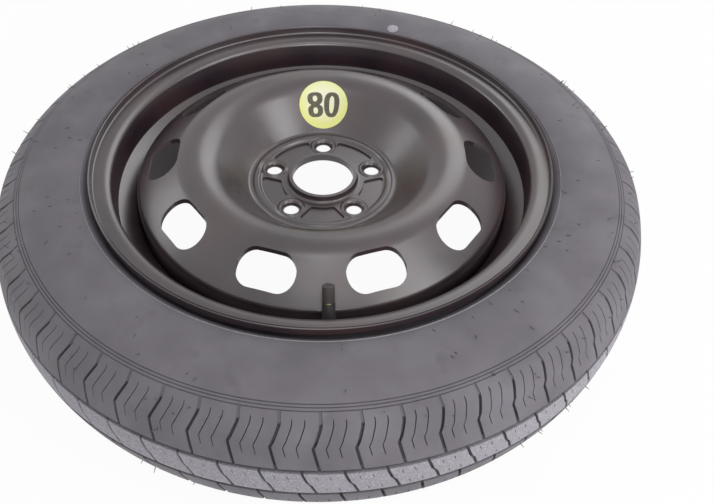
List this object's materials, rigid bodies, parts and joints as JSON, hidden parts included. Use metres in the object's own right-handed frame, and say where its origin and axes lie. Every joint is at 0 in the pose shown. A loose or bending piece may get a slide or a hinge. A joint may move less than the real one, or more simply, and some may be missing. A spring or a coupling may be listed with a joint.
{
  "type": "spare wheel",
  "caption": "Narrow temporary spare wheel: moulded tyre on a black rolled steel rim with a domed, slotted disc, bolt holes, hub bore and a capped tyre valve.",
  "frame": {"origin": "centre of the hub bore in the mounting face at the back of the disc", "axes": "+Z along the wheel axis out of the outer face, -Y towards the side with the valve"},
  "size_m": [0.664, 0.664, 0.1492],
  "materials": {
    "tyre": "matte rubber",
    "wheel_paint": "satin black coat",
    "rubber": "matte",
    "brass": "turned",
    "spring_steel": "bright wire",
    "cap_plastic": "moulded",
    "label_film": "printed film",
    "mark_film": "printed film"
  },
  "bodies": {
    "wheel": {"tyre": "tyre", "rim_barrel": "wheel_paint", "wheel_disc": "wheel_paint", "weld_beads": "wheel_paint", "valve_stem": "rubber", "valve_insert": "brass", "core_body": "brass", "core_seal": "rubber", "core_spring": "spring_steel", "speed_label": "label_film", "sidewall_dot": "mark_film"},
    "pin": {"valve_pin": "brass", "pin_seal": "rubber"},
    "cap_washer": {"cap_seal": "rubber"},
    "cap": {"valve_cap": "cap_plastic"}
  },
  "joints": [
    {"name": "pin_press", "type": "slide", "parent": "wheel", "child": "pin", "axis": [0.0164, -0.4692, -0.8829], "range_m": [0, 0.0015], "stiffness_N_per_m": 300, "springref_m": -0.002, "deforming": ["core_spring"]},
    {"name": "cap_lift", "type": "slide", "parent": "wheel", "child": "cap_washer", "axis": [-0.0164, 0.4692, 0.8829], "range_m": [0, 0.004]},
    {"name": "cap_turn", "type": "hinge", "parent": "cap_washer", "child": "cap", "pos_m": [0.00648, -0.18557, 0.03631], "axis": [-0.0164, 0.4692, 0.8829], "range_deg": [0, 1815]}
  ],
  "couplings": [
    {"joint": "cap_turn", "follows": "cap_lift", "rad_per_m": 7915.8}
  ]
}
